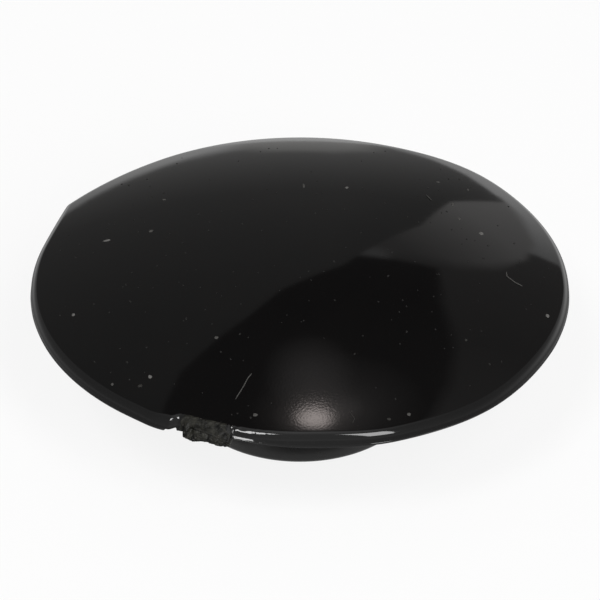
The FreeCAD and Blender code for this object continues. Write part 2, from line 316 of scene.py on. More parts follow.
def chip(azimuth, radius, height):
    """Cut of the chip in the rim's lower edge beside the gate."""
    half = CHIP_HALF_WIDTH * (1 + CHIP_WAVE * math.sin(height * CHIP_WAVES))
    aside = abs(turned(azimuth, CHIP_AZIMUTH))
    side = smooth(half + CHIP_SOFT_OUT, half - CHIP_SOFT_IN, aside)
    roof = smooth(CHIP_TOP + CHIP_SOFT_TOP, CHIP_TOP - CHIP_SOFT_TOP, height)
    return radius - CHIP_DEPTH * side * roof


# ------------------------------------------------------------------ rings

def every(step):
    """Azimuths all the way round, this far apart."""
    return [i * step - 180.0 for i in range(round(360 / step))]


def finer(azimuths, first, last, parts):
    """The same azimuths with each step between first and last divided."""
    result = []
    for here, after in zip(azimuths, azimuths[1:] + [azimuths[0] + 360.0]):
        count = parts if first <= here < last else 1
        result += [here + (after - here) * i / count for i in range(count)]
    return result


# Azimuths of the rings: coarse near the crown, and finest at the corner and the gate.
COARSE = every(6.0)
MIDDLE = every(2.0)
FINE = every(1.0)
FINE = finer(FINE, 121, 164, 2)
FINE = finer(FINE, 147, 152, 2)
FINE = finer(FINE, -118, -103, 8)
FINE = finer(FINE, -103, -92, 3)

# Places of the three finishes among the materials of the skin.
POLISHED = 0
TORN = 1
MOULDED = 2

rings = []


def ring(azimuths, place, finish=POLISHED):
    """Add a ring: place gives radius and height at an azimuth."""
    rings.append((azimuths, [place(azimuth) for azimuth in azimuths], finish))


def corner_arc(count, centre, radius, first, last):
    """Places on a rounding in section, from one angle to another."""
    result = []
    for i in range(count + 1):
        angle = math.radians(first + (last - first) * i / count)
        result.append((centre[0] + radius * math.cos(angle), centre[1] + radius * math.sin(angle)))
    return result


def round_at(azimuth):
    """Radius of the rim's rounding: tighter at the front right and wider at the gate."""
    around = RIM_ROUND
    for middle, half_width, change in ROUND_CHANGES:
        around += change * hump(azimuth - middle, half_width)
    return around


def rim_rounding(azimuth):
    """Centre of the rim's rounding, and the angle at which it meets the dome."""
    around = round_at(azimuth)
    centre = outline(azimuth) - around
    height = math.sqrt((DOME_RADIUS - around) ** 2 - centre ** 2) + DOME_CENTRE
    return centre, height, math.atan2(height - DOME_CENTRE, centre)


def dome_place(share):
    """Places on the dome, at a share of the way from the crown to the rounding."""
    def place(azimuth):
        centre, height, angle = rim_rounding(azimuth)
        radius = (centre + round_at(azimuth) * math.cos(angle)) * share
        return radius, sphere_height(radius, DOME_RADIUS)
    return place


def rounding_place(share):
    """Places on the rounding, from the dome at 0 to the wall at 1."""
    def place(azimuth):
        centre, height, angle = rim_rounding(azimuth)
        here = angle * (1 - share)
        out = round_at(azimuth) + ripple(azimuth, share)
        level = height + out * math.sin(here)
        aside = burr(azimuth, level) + gate_relief(azimuth, level)
        return centre + out * math.cos(here) + aside, level
    return place


def ripple(azimuth, share):
    """Small waves, a dent and a lip in the rim's rounding, at the gate and next to it."""
    beside = smooth(*WAVES_END, azimuth) * smooth(*WAVES_START, azimuth)
    waves = WAVE_HEIGHT * beside * noise.noise(Vector((azimuth * 1.3, share * 3, 5.0)))
    down = (share - DENT_SHARE) * DENT_SHARE_LENGTH
    dent = math.hypot((azimuth - DENT_AZIMUTH) * DENT_DEGREE, down)
    waves -= DENT_DEPTH * hump(dent, DENT_REACH)
    # The waves and the dent fade out before the rounding meets the wall.
    waves *= math.sin(math.pi * min(share * 1.2 + 0.08, 1.0))
    lip = LIP_HEIGHT * (0.5 + noise.noise(Vector((azimuth * 1.7, 0.0, 8.0))))
    below = (share - LIP_SHARE) * LIP_SHARE_LENGTH
    return waves + lip * in_gate(azimuth) * hump(below, LIP_REACH)


def wall_place(share):
    """Places on the rim's wall, from the rounding at 0 to the lower edge at 1."""
    def place(azimuth):
        centre, top, angle = rim_rounding(azimuth)
        bottom = rim_low(azimuth) + EDGE_ROUND
        height = top + (bottom - top) * share
        radius = outline(azimuth) + wall_relief(azimuth, height)
        return chip(azimuth, radius, height), height
    return place


def edge_place(share):
    """Places on the small rounding between the wall and the seat."""
    def place(azimuth):
        angle = math.radians(90 * share)
        bottom = rim_low(azimuth)
        height = bottom + EDGE_ROUND * (1 - math.sin(angle))
        radius = outline(azimuth) - EDGE_ROUND * (1 - math.cos(angle))
        radius += wall_relief(azimuth, bottom + EDGE_ROUND)
        return chip(azimuth, radius, height), height
    return place


def seat_place(share):
    """Places on the seat, from the rim inwards."""
    def place(azimuth):
        inner = HEAD_RADIUS - SEAT_WIDTH + EDGE_ROUND
        radius, height = edge_place(1.0)(azimuth)
        return radius + (inner - radius) * share, height * (1 - share)
    return place


def plain(point):
    """The same radius and height at every azimuth."""
    return lambda azimuth: point


# Shares of the dome's radius at which it has rings.
CROWN_SHARES = (0.06, 0.12, 0.18, 0.24)
DOME_SHARES = (0.3, 0.36, 0.42, 0.48, 0.54, 0.6, 0.66, 0.72, 0.78, 0.83, 0.88, 0.92)
BRINK_SHARES = (0.95, 0.97, 0.98, 0.988, 0.994, 1.0)

for share in CROWN_SHARES:
    ring(COARSE, dome_place(share))
for share in DOME_SHARES:
    ring(MIDDLE, dome_place(share))
for share in BRINK_SHARES:
    ring(FINE, dome_place(share))

# Below the dome each stretch has evenly spaced rings, and the last one ends it.
for stretch, count in ((rounding_place, 30), (wall_place, 32), (edge_place, 4), (seat_place, 4)):
    for i in range(1, count + 1):
        ring(FINE, stretch(i / count))

inner_sphere = DOME_RADIUS - SHELL_WALL
seat = HEAD_RADIUS - SEAT_WIDTH
bore = STEM_RADIUS - STEM_WALL


def ceiling(radius):
    """Height of the head's inside at a radius."""
    return sphere_height(radius, inner_sphere)


def between(first, last, parts):
    """Values that divide a stretch evenly, without its two ends."""
    return [first + (last - first) * i / parts for i in range(1, parts)]


def under_rows():
    """Section of the underside, from the seat's inner edge to the bore's top."""
    rows = []
    rows += corner_arc(3, (seat + EDGE_ROUND, EDGE_ROUND), EDGE_ROUND, -90, -180)[1:]
    top = ceiling(seat - RECESS_ROUND)
    rows += [(seat, 0.5 * top), (seat, top - 1.6 * RECESS_ROUND)]
    rows += corner_arc(4, (seat - RECESS_ROUND, top - RECESS_ROUND), RECESS_ROUND, 0, 90)
    root_x = STEM_RADIUS + ROOT_ROUND
    rows += [(radius, ceiling(radius)) for radius in between(seat - RECESS_ROUND, root_x, 6)]
    root_z = ceiling(root_x) - ROOT_ROUND
    rows += corner_arc(6, (root_x, root_z), ROOT_ROUND, 90, 180)
    rows += [(STEM_RADIUS, height) for height in between(root_z, STEM_TIP + STEM_LEAD, 8)]
    rows += corner_arc(5, (STEM_RADIUS - STEM_LEAD, STEM_TIP + STEM_LEAD), STEM_LEAD, 0, -90)
    rows += [(STEM_RADIUS - STEM_WALL / 2, STEM_TIP)]
    rows += corner_arc(4, (bore + MOUTH_ROUND, STEM_TIP + MOUTH_ROUND), MOUTH_ROUND, -90, -180)
    bore_x = bore - ROOT_ROUND
    bore_z = ceiling(bore_x) - ROOT_ROUND
    rows += [(bore, height) for height in between(STEM_TIP + MOUTH_ROUND, bore_z, 8)]
    rows += corner_arc(6, (bore_x, bore_z), ROOT_ROUND, 0, 90)
    rows += [(bore_x * share, ceiling(bore_x * share)) for share in (0.85, 0.65, 0.45)]
    return rows


for row in under_rows():
    ring(MIDDLE, plain(row), MOULDED)
for share in (0.3, 0.15):
    ring(COARSE, plain((bore * share, ceiling(bore * share))), MOULDED)


# ------------------------------------------------------------------ mesh of the plug

def put_in_scene(name, data):
    """A new object that shows this mesh, lamp or camera."""
    item = bpy.data.objects.new(name, data)
    bpy.context.scene.collection.objects.link(item)
    return item


def store_at_corners(item, name, values):
    """Keep one number for each point of a mesh, for its material to read."""
    attribute = item.data.attributes.new(name, "FLOAT", "POINT")
    attribute.data.foreach_set("value", values)


points = [(0, 0, CROWN)]
faces = []
finishes = []
starts = []
for azimuths, places, finish in rings:
    starts.append(len(points))
    for azimuth, (radius, height) in zip(azimuths, places):
        angle = math.radians(azimuth)
        points.append((radius * math.cos(angle), radius * math.sin(angle), height))
points.append((0, 0, ceiling(0)))


def add_face(corners, finish):
    faces.append(corners)
    finishes.append(finish)


def azimuth_after(azimuths, i):
    """Azimuth of the next point. 180 closes the ring, and after that there is none."""
    if i + 1 < len(azimuths):
        return azimuths[i + 1]
    return 180.0 if i < len(azimuths) else math.inf


def join_rings(upper, lower):
    """Faces between two rings, whose azimuths may differ in number."""
    upper_azimuths = rings[upper][0]
    lower_azimuths = rings[lower][0]
    finish = rings[lower][2]
    upper_start, lower_start = starts[upper], starts[lower]
    upper_count, lower_count = len(upper_azimuths), len(lower_azimuths)
    if upper_count == lower_count:
        for i in range(upper_count):
            j = (i + 1) % upper_count
            face = (upper_start + i, lower_start + i, lower_start + j, upper_start + j)
            add_face(face, finish)
        return
    i = j = 0
    while i < upper_count or j < lower_count:
        here_upper = upper_start + i % upper_count
        here_lower = lower_start + j % lower_count
        upper_next = azimuth_after(upper_azimuths, i) <= azimuth_after(lower_azimuths, j)
        if upper_next and i < upper_count:
            i += 1
            add_face((here_upper, here_lower, upper_start + i % upper_count), finish)
        else:
            j += 1
            add_face((here_upper, here_lower, lower_start + j % lower_count), finish)


first_count = len(rings[0][0])
for i in range(first_count):
    add_face((0, starts[0] + i, starts[0] + (i + 1) % first_count), POLISHED)
for index in range(len(rings) - 1):
    join_rings(index, index + 1)
last_count = len(rings[-1][0])
for i in range(last_count):
    add_face((len(points) - 1, starts[-1] + (i + 1) % last_count, starts[-1] + i), MOULDED)

mesh = bpy.data.meshes.new("plug_skin")
mesh.from_pydata([Vector(point) * MM for point in points], [], faces)
mesh.validate()
mesh.polygons.foreach_set("use_smooth", [True] * len(mesh.polygons))
plug = put_in_scene("plug_skin", mesh)

# The gate's torn skin has its own finish. Its edge is ragged, and its right end draws
# back towards the top.
TORN_RADIUS = 13.32
TORN_BEYOND_LEFT = 1.0
TORN_BEYOND_RIGHT = 0.2
TORN_DRAWN_BACK = 1.6
TORN_DRAW_HEIGHTS = (0.5, 0.75)
TORN_RAGGED = 0.5

for polygon, finish in zip(mesh.polygons, finishes):
    centre = polygon.center / MM
    azimuth = math.degrees(math.atan2(centre.y, centre.x))
    radius = math.hypot(centre.x, centre.y)
    ragged = TORN_RAGGED * noise.noise(Vector((azimuth * 0.8, centre.z * 4, 2.0)))
    drawn_back = TORN_DRAWN_BACK * smooth(*TORN_DRAW_HEIGHTS, centre.z)
    right_end = GATE_TO + TORN_BEYOND_RIGHT + ragged - drawn_back
    torn = GATE_FROM - TORN_BEYOND_LEFT + ragged < azimuth < right_end
    torn = torn and radius > TORN_RADIUS + 0.1 * ragged and centre.z > -0.02
    polygon.material_index = TORN if torn else finish

# ------------------------------------------------------------------ finishes

POLISHED_IOR = 1.42
TORN_IOR = 1.24
MOULDED_IOR = 1.36
DUST_IOR = 1.15

# Each finish wanders between a darker and a paler tone.
POLISHED_TONES = ((0.0016, 0.0016, 0.0017), (0.0028, 0.0026, 0.0025))
TORN_TONES = ((0.0015, 0.0015, 0.0012), (0.021, 0.0205, 0.0165))
TORN_FLECKS = (0.06, 0.055, 0.05)
MOULDED_TONES = ((0.005, 0.0049, 0.0049), (0.011, 0.0106, 0.0103))

# Roughness, and the range of the grain that it follows.
POLISHED_HAZE = (0.045, 0.075)
MOULDED_HAZE = (0.25, 0.36)
TORN_HAZE = 0.38
DUST_HAZE = 0.8
GRAIN_RANGE = (0.3, 0.75)

# Depths of the fine relief, in metres.
PEEL_DEPTH = 6.0e-7
POLISH_DEPTH = 1.2e-7
TORN_DEPTH = 6.0e-5
MOULDED_DEPTH = 1.5e-6

# A patch of the dome, at the front, is finely scratched: its middle, the distances
# between which it fades out and its depth, in metres.
SCRATCHED = (0.7 * MM, -10.6 * MM, 1.6 * MM)
SCRATCHES_FADE = (1.0 * MM, 3.6 * MM)
SCRATCH_DEPTH = 2.4e-6

# Fine dust has been rubbed off round the same place, this far in millimetres.
RUBBED_REACH = 2.4


class Nodes:
    """Short way to add and join the nodes of a material."""

    def __init__(self, name):
        self.material = bpy.data.materials.new(name)
        self.material.use_nodes = True
        self.tree = self.material.node_tree
        self.tree.nodes.clear()

    def add(self, kind, **values):
        """A node. Each value is one of its settings, or goes into the socket of that name."""
        node = self.tree.nodes.new("ShaderNode" + kind)
        for name, value in values.items():
            if hasattr(node, name):
                setattr(node, name, value)
            else:
                socket = node.inputs[name.replace("_", " ")]
                self.set(socket, value)
        return node

    def set(self, socket, value):
        """Give a socket its value, or a link if the value comes from another node."""
        if isinstance(value, bpy.types.NodeSocket):
            self.link(value, socket)
        else:
            socket.default_value = value

    def link(self, source, target):
        self.tree.links.new(source, target)

    def place(self):
        return self.add("TexCoord").outputs["Object"]

    def grain(self, scale, detail=2.0, roughness=0.5, distortion=0.0):
        """Noise of this scale per metre."""
        node = self.add("TexNoise", Vector=self.place(), Scale=scale, Detail=detail,
                        Roughness=roughness, Distortion=distortion)
        return node.outputs["Fac"]

    def away_from(self, point):
        """Distance of the surface from a point, in metres."""
        node = self.add("VectorMath", operation="DISTANCE")
        self.link(self.place(), node.inputs[0])
        node.inputs[1].default_value = point
        return node.outputs["Value"]

    def spread(self, value, from_low, from_high, to_low, to_high):
        """Stretch one range of a value to another, and hold it at the ends."""
        node = self.add("MapRange", Value=value)
        node.inputs["From Min"].default_value = from_low
        node.inputs["From Max"].default_value = from_high
        node.inputs["To Min"].default_value = to_low
        node.inputs["To Max"].default_value = to_high
        return node.outputs["Result"]

    def blend(self, share, first, second):
        """Mix two colours, each a tone or a node's output, by a share from 0 to 1."""
        node = self.add("Mix", data_type="RGBA")
        self.link(share, node.inputs["Factor"])
        for socket, colour in ((node.inputs["A"], first), (node.inputs["B"], second)):
            if isinstance(colour, tuple):
                colour = (*colour, 1)
            self.set(socket, colour)
        return node.outputs["Result"]

    def reckon(self, operation, first, second):
        """The maximum or the product of two values."""
        node = self.add("Math", operation=operation)
        self.set(node.inputs[0], first)
        self.set(node.inputs[1], second)
        return node.outputs[0]

    def join(self, kind, share, first, second):
        """Join two shaders. A share is how much of the second shows, where that counts."""
        node = self.add(kind)
        places = list(node.inputs)
        if share is not None:
            self.link(share, places.pop(0))
        self.link(first, places[0])
        self.link(second, places[1])
        return node.outputs[0]

    def bump(self, height, depth, under=None, strength=1.0):
        """Relief of this depth, in metres, on top of the relief under it."""
        node = self.add("Bump", Height=height, Distance=depth, Strength=strength)
        if under:
            self.link(under, node.inputs["Normal"])
        return node.outputs["Normal"]

    def plastic(self, tone, haze, ior, relief):
        """The finished material of a plastic surface."""
        shader = self.add("BsdfPrincipled", Base_Color=tone, Roughness=haze, IOR=ior,
                          Normal=relief)
        return self.finish(shader.outputs["BSDF"])

    def finish(self, shader):
        output = self.add("OutputMaterial")
        self.link(shader, output.inputs["Surface"])
        return self.material


def black_plastic():
    """Polished near-black plastic: faint orange peel, and a finely scratched patch."""
    n = Nodes("black_plastic")
    tone = n.blend(n.grain(350, 3), *POLISHED_TONES)
    haze = n.spread(n.grain(2200, 4, 0.7), *GRAIN_RANGE, *POLISHED_HAZE)
    peel = n.bump(n.grain(420, 1), PEEL_DEPTH)
    fine = n.bump(n.grain(9000, 2), POLISH_DEPTH, peel)
    worn = n.spread(n.away_from(SCRATCHED), *SCRATCHES_FADE, 1.0, 0.0)
    scratched = n.bump(n.grain(9500, 2), SCRATCH_DEPTH, fine, worn)
    return n.plastic(tone, haze, POLISHED_IOR, scratched)


def torn_plastic():
    """Rough dark break of the gate, olive-grey, with a few paler strained flecks."""
    n = Nodes("torn_plastic")
    patches = n.spread(n.grain(2900, 3, 0.6), 0.38, 0.64, 0.0, 1.0)
    grey = n.blend(patches, *TORN_TONES)
    flecks = n.spread(n.grain(5200, 3, 0.6, 0.6), 0.66, 0.72, 0.0, 1.0)
    tone = n.blend(flecks, grey, TORN_FLECKS)
    relief = n.bump(n.grain(3600, 4, 0.7), TORN_DEPTH)
    return n.plastic(tone, TORN_HAZE, TORN_IOR, relief)


def moulded_plastic():
    """Duller black plastic of the underside, stem and bore."""
    n = Nodes("moulded_plastic")
    tone = n.blend(n.grain(500, 3), *MOULDED_TONES)
    haze = n.spread(n.grain(1600, 4, 0.7), *GRAIN_RANGE, *MOULDED_HAZE)
    relief = n.bump(n.grain(6000, 3, 0.6), MOULDED_DEPTH)
    return n.plastic(tone, haze, MOULDED_IOR, relief)


def dust_finish(name, tone):
    """Dull dust of one tone."""
    n = Nodes(name)
    shader = n.add("BsdfPrincipled", Roughness=DUST_HAZE, IOR=DUST_IOR)
    shader.inputs["Base Color"].default_value = (*tone, 1)
    return n.finish(shader.outputs["BSDF"])


for material in (black_plastic(), torn_plastic(), moulded_plastic()):
    mesh.materials.append(material)

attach(plug, "root")
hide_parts("hole_plug")


# ------------------------------------------------------------------ dust on the dome

# Dust has four finishes, in this order. The last is for the fine specks only.
DUST_TONES = [
    ("dust_faint", (0.03, 0.029, 0.027)),
    ("dust_grey", (0.065, 0.063, 0.06)),
    ("dust_pale", (0.12, 0.117, 0.112)),
    ("dust_trace", (0.02, 0.0195, 0.019)),
]
TRACE = 3

# Each speck: its place in plan, its width and length, and which finish it has.
SPECKS = [
    (12.7, -3.6, 0.2, 0.3, 2), (-7.5, -9.4, 0.2, 0.3, 2), (-10.1, 2.2, 0.4, 0.2, 2),
    (-11.6, -3.9, 0.2, 0.25, 2), (-4.2, -7.2, 0.2, 0.2, 1), (2.5, 6.2, 0.2, 0.25, 2),
    (5.4, -12.1, 0.2, 0.2, 1), (-2.2, -12.4, 0.25, 0.2, 1), (9.5, 2.7, 0.25, 0.3, 2),
    (7.4, 8.0, 0.25, 0.2, 1), (-7.8, 2.4, 0.25, 0.25, 1), (-7.2, 5.7, 0.2, 0.2, 1),
    (-9.4, -9.5, 0.15, 0.2, 1), (8.4, 3.9, 0.15, 0.3, 1), (0.2, 6.3, 0.12, 0.5, 1),
    (9.0, 7.6, 0.15, 0.3, 1), (8.1, 5.4, 0.15, 0.4, 1), (-8.0, -9.9, 0.25, 0.2, 0),
    (4.4, -12.5, 0.25, 0.15, 0), (8.4, -6.7, 0.15, 0.2, 0),
]

# Each fibre: the places it runs through, its half-thickness and which finish it has.
FIBRES = [
    ([(-2.4, -9.8), (-2.6, -10.1), (-2.8, -10.6), (-3.2, -11.4)], 0.028, 1),
    ([(10.7, -0.6), (10.7, -1.0), (11.1, -1.4), (11.5, -1.6)], 0.03, 1),
    ([(6.7, 6.1), (7.0, 5.5)], 0.03, 1),
    ([(2.6, -12.1), (2.5, -12.3), (2.7, -12.6), (2.6, -12.9)], 0.024, 0),
]

# A fibre's tips are thinner, and it swells to its full thickness in a few steps.
FIBRE_TIP = 0.35
FIBRE_SWELL = 0.3

# How far a speck stands out of the dome, and how lumpy it is.
DUST_HEIGHT = 0.025
DUST_LUMP = 0.5

# The fine specks: how many, and where they end. Their width, their length as a multiple
# of it and their turn to both sides, in radians, are drawn between these bounds.
FINE_COUNT = 200
FINE_REACH = 13.0
FINE_WIDTHS = (0.05, 0.11)
FINE_STRETCH = (0.9, 2.0)
FINE_TURN = 0.7

dust_points = []
dust_faces = []
dust_shades = []


def lie_on_dome(x, y, lift):
    """A place this far above the dome, but never above the crown's height."""
    radius = math.hypot(x, y)
    return x, y, min(sphere_height(radius, DOME_RADIUS) + lift, CROWN - 0.001)


def face_below(start, side, sides):
    """Face between two neighbours in a ring of points and the two in the next ring."""
    after = (side + 1) % sides
    return start + side, start + sides + side, start + sides + after, start + after


def add_speck(x, y, across, along, shade, seed, turn=0.0):
    """A small lump that lies on the dome, its lower half sunk in."""
    sides, rows = 8, 4
    first = len(dust_points)
    dust_points.append(lie_on_dome(x, y, DUST_HEIGHT))
    for row in range(1, rows):
        tilt = math.pi * row / rows
        for side in range(sides):
            angle = 2 * math.pi * side / sides
            spot = Vector((math.cos(angle), math.sin(angle), seed * 7.3))
            lump = 1 + DUST_LUMP * noise.noise(spot)
            u = 0.5 * across * lump * math.sin(tilt) * math.cos(angle)
            v = 0.5 * along * lump * math.sin(tilt) * math.sin(angle)
            px = x + u * math.cos(turn) - v * math.sin(turn)
            py = y + u * math.sin(turn) + v * math.cos(turn)
            dust_points.append(lie_on_dome(px, py, DUST_HEIGHT * math.cos(tilt)))
    dust_points.append(lie_on_dome(x, y, -DUST_HEIGHT))
    last = len(dust_points) - 1
    for side in range(sides):
        after = (side + 1) % sides
        dust_faces.append((first, first + 1 + side, first + 1 + after))
        for row in range(rows - 2):
            here = first + 1 + row * sides
            dust_faces.append(face_below(here, side, sides))
        low_row = first + 1 + (rows - 2) * sides
        dust_faces.append((last, low_row + after, low_row + side))
    dust_shades.extend([shade] * (len(dust_faces) - len(dust_shades)))


def add_fibre(path, half_thick, shade):
    """A thin closed thread that lies along the dome, tapered at both ends."""
    sides, steps = 6, 8
    line = []
    for here, after in zip(path, path[1:]):
        for i in range(steps):
            share = i / steps
            line.append((here[0] + (after[0] - here[0]) * share,
                         here[1] + (after[1] - here[1]) * share))
    line.append(path[-1])
    first = len(dust_points)
    for index, (x, y) in enumerate(line):
        before, after = line[max(index - 1, 0)], line[min(index + 1, len(line) - 1)]
        along = Vector((after[0] - before[0], after[1] - before[1])).normalized()
        steps_from_end = min(index, len(line) - 1 - index)
        taper = half_thick * min(1.0, FIBRE_TIP + FIBRE_SWELL * steps_from_end)
        for side in range(sides):
            angle = 2 * math.pi * side / sides
            aside = taper * math.cos(angle)
            dust_points.append(lie_on_dome(x - along.y * aside, y + along.x * aside,
                                           0.5 * half_thick + taper * math.sin(angle)))
    for index in range(len(line) - 1):
        here = first + index * sides
        for side in range(sides):
            dust_faces.append(face_below(here, side, sides))
    last = first + (len(line) - 1) * sides
    dust_faces.append(tuple(first + side for side in range(sides)))
    dust_faces.append(tuple(last + side for side in reversed(range(sides))))
    dust_shades.extend([shade] * (len(dust_faces) - len(dust_shades)))


for index, (x, y, across, along, shade) in enumerate(SPECKS):
    add_speck(x, y, across, along, shade, index)
for path, half_thick, shade in FIBRES:
    add_fibre(path, half_thick, shade)

# Fine specks lie all over, except on the scratched patch, which has been rubbed clean.
chance = random.Random(7)
for index in range(FINE_COUNT):
    radius = FINE_REACH * math.sqrt(chance.uniform(0.03, 1.0))
    angle = chance.uniform(-math.pi, math.pi)
    across = chance.uniform(*FINE_WIDTHS)
    along = across * chance.uniform(*FINE_STRETCH)
    turn = chance.uniform(-FINE_TURN, FINE_TURN)
    x, y = radius * math.cos(angle), radius * math.sin(angle)
    if math.hypot(x - SCRATCHED[0] / MM, y - SCRATCHED[1] / MM) > RUBBED_REACH:
        add_speck(x, y, across, along, TRACE, 100 + index, turn)

dust_mesh = bpy.data.meshes.new("dust")
dust_mesh.from_pydata([Vector(point) * MM for point in dust_points], [], dust_faces)
dust_mesh.polygons.foreach_set("use_smooth", [True] * len(dust_mesh.polygons))
dust_mesh.polygons.foreach_set("material_index", dust_shades)
for name, tone in DUST_TONES:
    dust_mesh.materials.append(dust_finish(name, tone))
dust = put_in_scene("dust", dust_mesh)
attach(dust, "root")


# ------------------------------------------------------------------ floor and panels

FLOOR_REACH = 3.0
FLOOR_PALENESS = 0.86


def stage_mesh(name, corners, face_list, material):
    """A mesh that belongs to the stage and not to the plug."""
    data = bpy.data.meshes.new(name)
    data.from_pydata(corners, [], face_list)
    data.materials.append(material)
    item = put_in_scene(name, data)
    return item


def floor_finish():
    """White paper. What looks at it sees it paler than its light alone would make it."""
    n = Nodes("floor_paper")
    paper = n.add("BsdfDiffuse", Color=(0.9, 0.9, 0.9, 1))
    glow = n.add("Emission", Color=(1, 1, 1, 1), Strength=1.0)
    rays = n.add("LightPath").outputs
    mirrored = n.reckon("MAXIMUM", rays["Is Glossy Ray"], rays["Is Transmission Ray"])
    seen = n.reckon("MAXIMUM", rays["Is Camera Ray"], mirrored)
    share = n.reckon("MULTIPLY", seen, FLOOR_PALENESS)
    lit = n.join("MixShader", share, paper.outputs[0], glow.outputs[0])
    # From below the floor is clear, so the plug's underside can be seen.
    clear = n.add("BsdfTransparent")
    below = n.add("NewGeometry").outputs["Backfacing"]
    return n.finish(n.join("MixShader", below, lit, clear.outputs[0]))


floor_corners = [(-FLOOR_REACH, -FLOOR_REACH), (FLOOR_REACH, -FLOOR_REACH),
                 (FLOOR_REACH, FLOOR_REACH), (-FLOOR_REACH, FLOOR_REACH)]
stage_mesh("floor", [(x, y, low.z) for x, y in floor_corners], [(0, 1, 2, 3)], floor_finish())


# The panels hang behind the plug on one leaning plane, square to this direction.
PANEL_ELEVATION = math.radians(38)
PANEL_DISTANCE = 0.9
LAYER_GAP = 0.01
panel_out = Vector((0, math.cos(PANEL_ELEVATION), math.sin(PANEL_ELEVATION)))
panel_right = Vector((1, 0, 0))
panel_up = Vector((0, -math.sin(PANEL_ELEVATION), math.cos(PANEL_ELEVATION)))


def on_panel(across, up, distance):
    """A place on the plane, across and up as shares of its distance."""
    return (panel_out + across * panel_right + up * panel_up) * distance


def glow_finish(name, colour, glow_now, leans, distance):
    """A panel's glow, let through where its cover ends.

    Each lean changes the glow along a line on the plane: the line's direction across
    and up, where the change starts and ends, and the factor it ends with.
    """
    n = Nodes(name)
    strength = None
    for across, up, start, end, factor in leans:
        reach = n.add("VectorMath", operation="DOT_PRODUCT")
        n.link(n.place(), reach.inputs[0])
        reach.inputs[1].default_value = (across * panel_right + up * panel_up) / distance
        first = glow_now if strength is None else 1.0
        change = n.spread(reach.outputs["Value"], start, end, first, first * factor)
        strength = change if strength is None else n.reckon("MULTIPLY", strength, change)
    glow = n.add("Emission", Color=(*colour, 1), Strength=strength)
    clear = n.add("BsdfTransparent")
    cover = n.add("Attribute", attribute_name="cover").outputs["Fac"]
    return n.finish(n.join("MixShader", cover, clear.outputs[0], glow.outputs[0]))


def panel(name, edge, colour, glow, leans, layer):
    """A glowing panel. Each corner of its edge is across, up and how soft it is there."""
    distance = PANEL_DISTANCE - LAYER_GAP * layer
    count = len(edge)
    corners = [on_panel(across, up, distance) for across, up, soft in edge]
    outer = []
    for i, (across, up, soft) in enumerate(edge):
        before, after = edge[i - 1], edge[(i + 1) % count]
        along = Vector((after[0] - before[0], after[1] - before[1])).normalized()
        outer.append(on_panel(across + along.y * soft, up - along.x * soft, distance))
    face_list = [tuple(range(count))]
    for i in range(count):
        j = (i + 1) % count
        face_list.append((i, i + count, j + count, j))
    finish = glow_finish(name, colour, glow, leans, distance)
    item = stage_mesh(name, corners + outer, face_list, finish)
    store_at_corners(item, "cover", [1.0] * count + [0.0] * count)
    item.visible_shadow = False


# The softness of a sharp edge. The panels' edges run anticlockwise as the plug sees them.
HARD = 0.003
RIGHT_SCREEN = [
    (0.15, -0.24, HARD), (0.6, -0.24, HARD), (0.62, 0.1, 0.04), (0.52, 0.5, 0.04),
    (0.42, 0.75, 0.04), (0.1, 0.75, 0.02), (0.15, 0.0, 0.02),
]
DARK_GAP = [
    (0.05, -0.03, 0.02), (0.22, -0.03, 0.02), (0.24, 0.1, 0.025), (0.29, 0.26, 0.03),
    (0.3, 0.4, 0.04), (0.28, 0.75, 0.05), (-0.5, 0.75, 0.02), (-0.35, 0.4, 0.02),
]
PALE_WEDGE = [
    (0.08, -0.09, 0.03), (0.15, -0.3, HARD), (0.2, -0.53, HARD), (0.27, -0.52, 0.006),
    (0.31, -0.41, 0.02), (0.35, -0.29, 0.012), (0.35, -0.2, 0.012), (0.3, -0.12, 0.035),
    (0.25, -0.09, 0.045), (0.15, -0.08, 0.045),
]
GREY_SCREEN = [
    (-0.6, 0.8, 0.04), (-0.6, -0.1, 0.05), (-0.45, -0.35, 0.03), (-0.3, -0.5, 0.02),
    (-0.18, -0.62, 0.03), (-0.06, -0.7, 0.06), (-0.02, -0.76, 0.07), (0.09, -0.78, 0.06),
    (0.16, -0.71, 0.012), (0.21, -0.63, 0.01), (0.28, -0.49, 0.004), (0.21, -0.39, HARD),
    (0.18, -0.22, HARD), (0.1, -0.05, HARD), (0.07, 0.01, HARD), (-0.03, 0.11, HARD),
    (-0.09, 0.2, HARD), (-0.25, 0.38, HARD), (-0.3, 0.48, HARD), (-0.37, 0.62, 0.01),
    (-0.45, 0.8, 0.02),
]
MIDDLE_STRIP = [
    (-0.04, -0.83, 0.06), (0.065, -0.83, 0.06), (0.06, -0.71, 0.05), (0.035, -0.685, 0.05),
    (-0.025, -0.69, 0.05), (-0.045, -0.74, 0.06),
]
panel("right_screen", RIGHT_SCREEN, colour=(1.0, 0.97, 0.96), glow=0.18,
      leans=[(0, 1, 0.2, 0.5, 1.45)], layer=0)
panel("dark_gap", DARK_GAP, colour=(1.0, 0.93, 0.94), glow=0.055,
      leans=[(0, 1, 0.1, 0.4, 1.4)], layer=1)
panel("pale_wedge", PALE_WEDGE, colour=(1.0, 0.98, 0.97), glow=0.24,
      leans=[(0.8, -0.6, 0.19, 0.4, 2.3)], layer=2)
panel("grey_screen", GREY_SCREEN, colour=(1.0, 0.99, 0.98), glow=0.19,
      leans=[(0, -1, 0.35, 0.76, 1.8), (1, 0, 0.05, 0.2, 0.8)], layer=3)
panel("middle_strip", MIDDLE_STRIP, colour=(1.0, 0.99, 0.97), glow=0.5,
      leans=[(0, -1, 0.66, 0.8, 1.35)], layer=4)


LAMP_SIDES = 32


